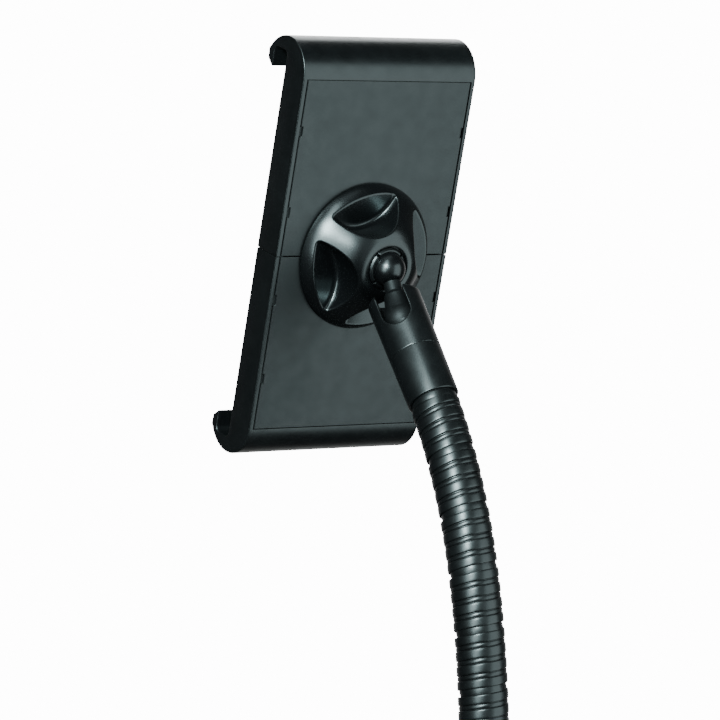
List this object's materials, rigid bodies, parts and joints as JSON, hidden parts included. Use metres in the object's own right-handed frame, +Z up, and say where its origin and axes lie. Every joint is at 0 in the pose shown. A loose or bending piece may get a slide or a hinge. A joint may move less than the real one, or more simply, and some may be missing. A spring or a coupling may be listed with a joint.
{
  "type": "adjustable tablet floor stand",
  "caption": "Floor stand for a tablet: round weighted base, telescopic pole, bendable gooseneck and a spring-loaded self-centring clamp on a ball joint with a locking knob.",
  "frame": {"origin": "on the floor, under the axis of the pole", "axes": "+Z up the pole, -Y towards the person who looks at the tablet, +X to the left of that person"},
  "size_m": [0.35, 0.35, 1.379],
  "materials": {
    "cast_base": "black powder coat",
    "black_rubber": "matte",
    "plain_steel": "plain zinc",
    "black_tube": "satin black coat",
    "neck_strip": "semi-gloss black coat",
    "ball_finish": "gloss black",
    "satin_plastic": "fine satin",
    "panel_plastic": "smooth satin",
    "knob_plastic": "satin gloss",
    "pale_nylon": "plain nylon"
  },
  "bodies": {
    "base": {"base_casting": "cast_base", "foot_pads": "black_rubber", "base_bolt": "plain_steel", "pole_plug": "plain_steel", "pole_collar": "satin_plastic", "lower_tube": "black_tube", "tube_bush": "pale_nylon", "lock_collet": "pale_nylon"},
    "lock": {"lock_collar": "satin_plastic"},
    "slider": {"slider_bush": "pale_nylon"},
    "mast": {"upper_tube": "black_tube", "neck_base_ferrule": "black_tube", "ferrule_screw": "plain_steel", "neck_segment_00": "neck_strip"},
    "neck_01": {"neck_segment_01": "neck_strip"},
    "neck_02": {"neck_segment_02": "neck_strip"},
    "neck_03": {"neck_segment_03": "neck_strip"},
    "neck_04": {"neck_segment_04": "neck_strip"},
    "neck_05": {"neck_segment_05": "neck_strip"},
    "neck_06": {"neck_segment_06": "neck_strip"},
    "neck_07": {"neck_segment_07": "neck_strip"},
    "neck_08": {"neck_segment_08": "neck_strip"},
    "neck_09": {"neck_segment_09": "neck_strip"},
    "neck_10": {"neck_segment_10": "neck_strip"},
    "neck_11": {"neck_segment_11": "neck_strip"},
    "neck_12": {"neck_segment_12": "neck_strip"},
    "tip": {"neck_ferrule": "satin_plastic"},
    "socket": {"socket_housing": "satin_plastic", "ball_cup": "satin_plastic"},
    "stud": {"ball_stud": "ball_finish"},
    "liner": {"ball_liner": "satin_plastic"},
    "holder": {"chassis": "satin_plastic", "pinion_screw": "plain_steel", "left_spring": "plain_steel", "right_spring": "plain_steel"},
    "knob": {"clamp_knob": "knob_plastic"},
    "pinion": {"pinion": "pale_nylon"},
    "upper_jaw": {"upper_frame": "satin_plastic", "upper_rear_panel": "panel_plastic", "upper_hook_pad": "black_rubber", "upper_front_pad": "black_rubber", "upper_rack": "pale_nylon", "upper_rack_screws": "plain_steel"},
    "lower_jaw": {"lower_frame": "satin_plastic", "lower_rear_panel": "panel_plastic", "lower_hook_pad": "black_rubber", "lower_front_pad": "black_rubber", "lower_rack": "pale_nylon", "lower_rack_screws": "plain_steel"}
  },
  "joints": [
    {"name": "lock_turn", "type": "hinge", "parent": "base", "child": "lock", "pos_m": [0, 0, 0.582], "axis": [0, 0, 1], "range_deg": [0, 120]},
    {"name": "pole_slide", "type": "slide", "parent": "base", "child": "slider", "axis": [0, 0, 1], "range_m": [-0.18, 0.25]},
    {"name": "pole_turn", "type": "hinge", "parent": "slider", "child": "mast", "pos_m": [0, 0, 0.6], "axis": [0, 0, 1], "continuous": true},
    {"name": "neck_sway_01", "type": "hinge", "parent": "mast", "child": "neck_01", "pos_m": [0, 0, 0.875], "axis": [0, 1, 0], "range_deg": [-7, 7]},
    {"name": "neck_bend_02", "type": "hinge", "parent": "neck_01", "child": "neck_02", "pos_m": [0, 0, 0.903], "axis": [1, 0, 0], "range_deg": [-7, 6.3]},
    {"name": "neck_sway_03", "type": "hinge", "parent": "neck_02", "child": "neck_03", "pos_m": [0, 0, 0.931], "axis": [0, 1, 0], "range_deg": [-7, 7]},
    {"name": "neck_bend_04", "type": "hinge", "parent": "neck_03", "child": "neck_04", "pos_m": [0, 0, 0.959], "axis": [1, 0, 0], "range_deg": [-7, 6.3]},
    {"name": "neck_sway_05", "type": "hinge", "parent": "neck_04", "child": "neck_05", "pos_m": [0, 0, 0.987], "axis": [0, 1, 0], "range_deg": [-7, 7]},
    {"name": "neck_bend_06", "type": "hinge", "parent": "neck_05", "child": "neck_06", "pos_m": [0, 0, 1.015], "axis": [1, 0, 0], "range_deg": [-8, 6.3]},
    {"name": "neck_bend_07", "type": "hinge", "parent": "neck_06", "child": "neck_07", "pos_m": [0, -0.00049, 1.043], "axis": [1, 0, 0], "range_deg": [-8.8, 6.3]},
    {"name": "neck_bend_08", "type": "hinge", "parent": "neck_07", "child": "neck_08", "pos_m": [0, -0.00186, 1.07096], "axis": [1, 0, 0], "range_deg": [-10, 6.3]},
    {"name": "neck_bend_09", "type": "hinge", "parent": "neck_08", "child": "neck_09", "pos_m": [0, -0.00469, 1.09882], "axis": [1, 0, 0], "range_deg": [-11, 6.3]},
    {"name": "neck_bend_10", "type": "hinge", "parent": "neck_09", "child": "neck_10", "pos_m": [0, -0.00945, 1.12641], "axis": [1, 0, 0], "range_deg": [-12.2, 5.1]},
    {"name": "neck_bend_11", "type": "hinge", "parent": "neck_10", "child": "neck_11", "pos_m": [0, -0.0167, 1.15346], "axis": [1, 0, 0], "range_deg": [-13.8, 3.5]},
    {"name": "neck_bend_12", "type": "hinge", "parent": "neck_11", "child": "neck_12", "pos_m": [0, -0.0271, 1.17945], "axis": [1, 0, 0], "range_deg": [-13.8, 3.5]},
    {"name": "neck_bend_13", "type": "hinge", "parent": "neck_12", "child": "tip", "pos_m": [0, -0.0405, 1.20404], "axis": [1, 0, 0], "range_deg": [-13.4, 3.9]},
    {"name": "socket_swivel", "type": "hinge", "parent": "tip", "child": "socket", "pos_m": [0, -0.0405, 1.20404], "axis": [0, -0.5736, 0.8192], "continuous": true},
    {"name": "stud_swing", "type": "hinge", "parent": "socket", "child": "stud", "pos_m": [0, -0.06786, 1.24311], "axis": [-0.6947, 0.5892, 0.4126], "range_deg": [-6, 35]},
    {"name": "holder_tilt", "type": "hinge", "parent": "stud", "child": "liner", "pos_m": [0, -0.07881, 1.26691], "axis": [1, 0, 0], "range_deg": [-75, 4]},
    {"name": "holder_turn", "type": "hinge", "parent": "liner", "child": "holder", "pos_m": [0, -0.07881, 1.26691], "axis": [0, 0.9627, -0.2706], "continuous": true},
    {"name": "knob_turn", "type": "hinge", "parent": "holder", "child": "knob", "pos_m": [0, -0.07881, 1.26691], "axis": [0, 0.9627, -0.2706], "range_deg": [0, 270]},
    {"name": "upper_jaw_slide", "type": "slide", "parent": "holder", "child": "upper_jaw", "axis": [0, 0.2706, 0.9627], "range_m": [0, 0.03], "stiffness_N_per_m": 400, "springref_m": -0.025, "deforming": ["left_spring", "right_spring"]},
    {"name": "lower_jaw_slide", "type": "slide", "parent": "holder", "child": "lower_jaw", "axis": [0, -0.2706, -0.9627], "range_m": [0, 0.03]},
    {"name": "pinion_turn", "type": "hinge", "parent": "holder", "child": "pinion", "pos_m": [0, -0.10028, 1.27295], "axis": [0, 0.9627, -0.2706], "range_deg": [-216, 1]}
  ],
  "couplings": [
    {"joint": "lower_jaw_slide", "follows": "upper_jaw_slide", "ratio": 1},
    {"joint": "pinion_turn", "follows": "upper_jaw_slide", "rad_per_m": -125}
  ]
}
